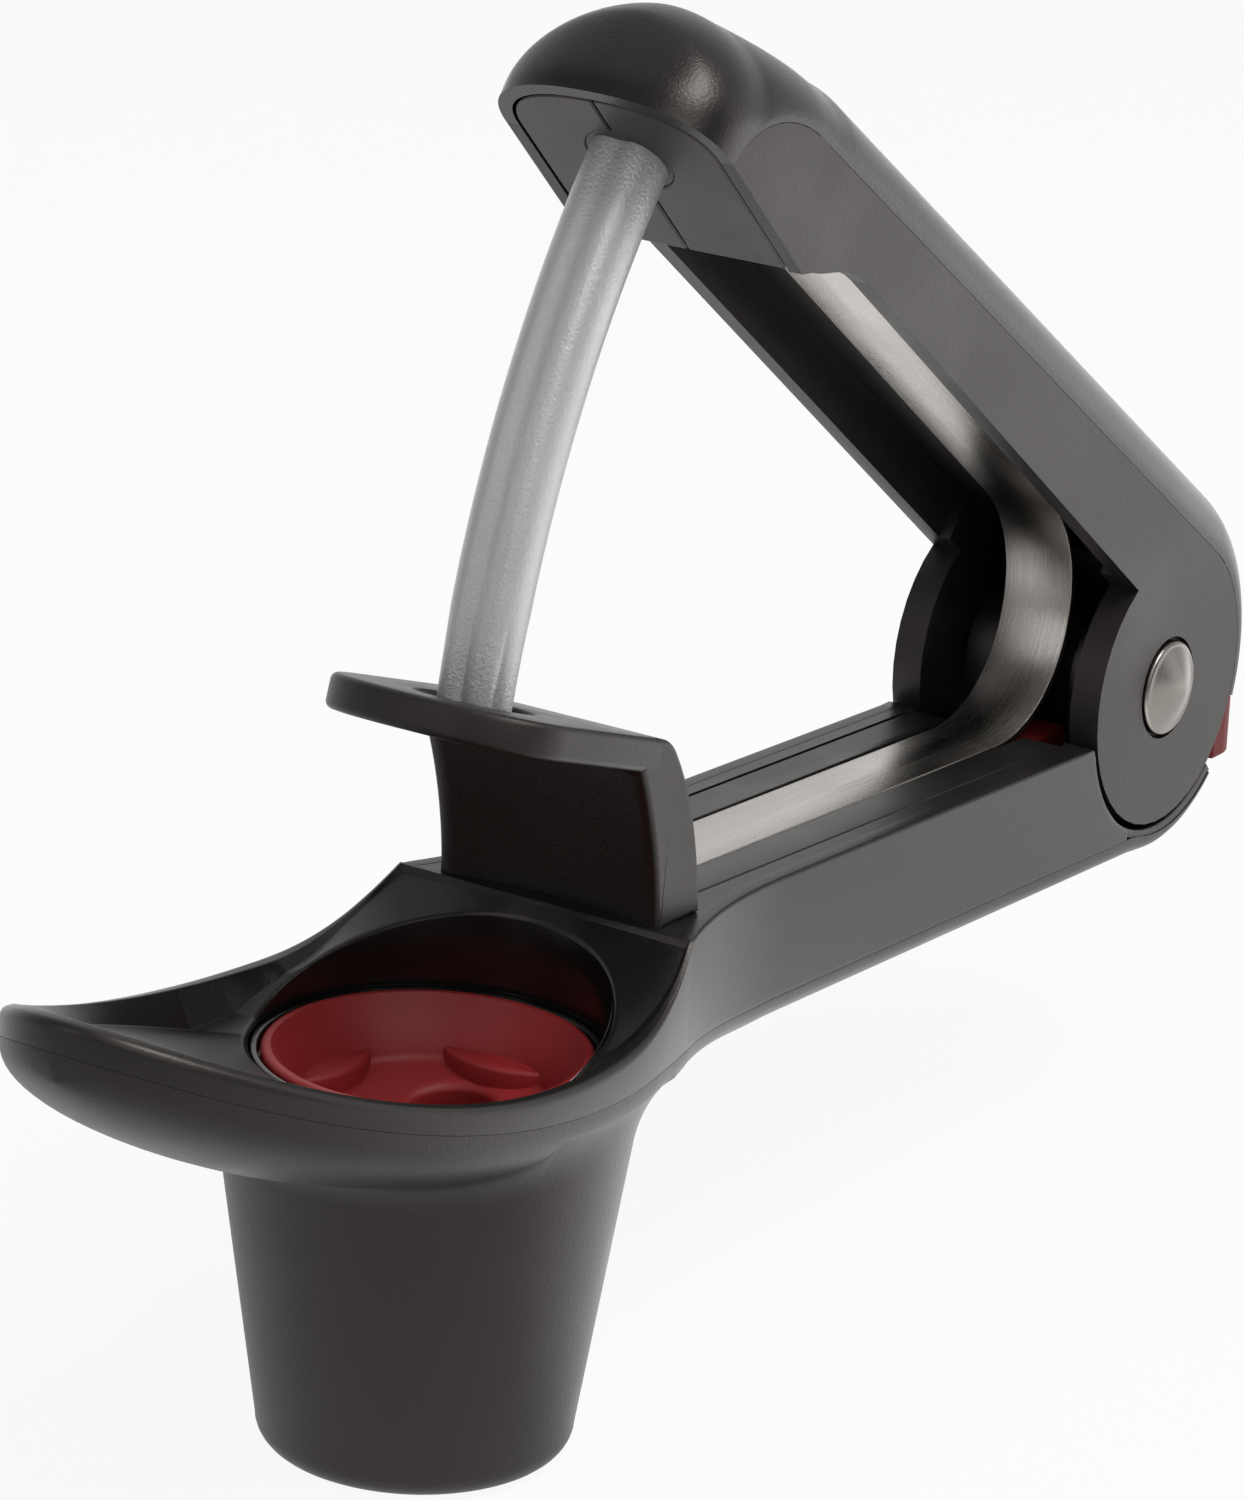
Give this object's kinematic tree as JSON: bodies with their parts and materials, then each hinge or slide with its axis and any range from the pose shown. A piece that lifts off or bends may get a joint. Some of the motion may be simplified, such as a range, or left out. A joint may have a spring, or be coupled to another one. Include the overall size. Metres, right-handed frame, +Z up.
{
  "type": "cherry pitter",
  "caption": "Hinged lever pitter with a fruit tray and cup on the lower arm, a curved fluted rod on the sprung upper lever, a slotted guard plate and a sliding lock",
  "frame": {"origin": "middle of the object's footprint at the height of the cup's foot", "axes": "+X runs from the tray's tip back to the hinge and latch, +Y is the left side, +Z is up along the cup's axis"},
  "size_m": [0.2094, 0.046, 0.141],
  "materials": {
    "upper_moulding": "black, fine satin texture",
    "lower_moulding": "black, fine matte texture",
    "guard": "black, matte",
    "silicone": "deep red, satin silicone",
    "gloss_black": "black, glossy",
    "bed": "black, satin",
    "spring_steel": "brushed along its length",
    "fasteners": "plain steel",
    "nylon": "off-white nylon",
    "red_plastic": "deep red, satin",
    "lever_moulding": "charcoal black, fine matte texture",
    "soft_grip": "black soft-touch grip, satin sheen",
    "die_cast": "satin die-cast metal",
    "rivet_steel": "turned stainless steel"
  },
  "bodies": {
    "base": {"base_frame": "upper_moulding", "cup_shell": "lower_moulding", "guard_bracket": "guard", "insert_cup": "silicone", "insert_ring": "gloss_black", "spring_bed": "bed", "leaf_spring": "spring_steel", "spring_rivet_1": "fasteners", "spring_rivet_2": "fasteners", "shell_screw_1": "fasteners", "shell_screw_2": "fasteners", "shell_screw_3": "fasteners", "guard_screw_1": "fasteners", "guard_screw_2": "fasteners", "hinge_bush_left": "nylon", "hinge_bush_right": "nylon", "latch_screw": "fasteners"},
    "lever": {"lever_frame": "lever_moulding", "grip_shell": "soft_grip", "head_plate_left": "gloss_black", "head_plate_right": "gloss_black", "pitting_rod": "die_cast", "rod_pin": "fasteners", "hinge_pin": "rivet_steel", "hinge_cap": "rivet_steel", "hinge_washer_left": "nylon", "hinge_washer_right": "nylon"},
    "latch": {"latch_slider": "red_plastic"}
  },
  "joints": [
    {"name": "lever_hinge", "type": "hinge", "parent": "base", "child": "lever", "pos_m": [0.07785, 0, 0.0521], "axis": [0, -1, 0], "range_deg": [0, 26.1], "stiffness_Nm_per_rad": 1.2, "springref_deg": -20.05, "deforming": ["leaf_spring"]},
    {"name": "latch_slide", "type": "slide", "parent": "base", "child": "latch", "axis": [-1, 0, 0], "range_m": [0, 0.004]}
  ]
}
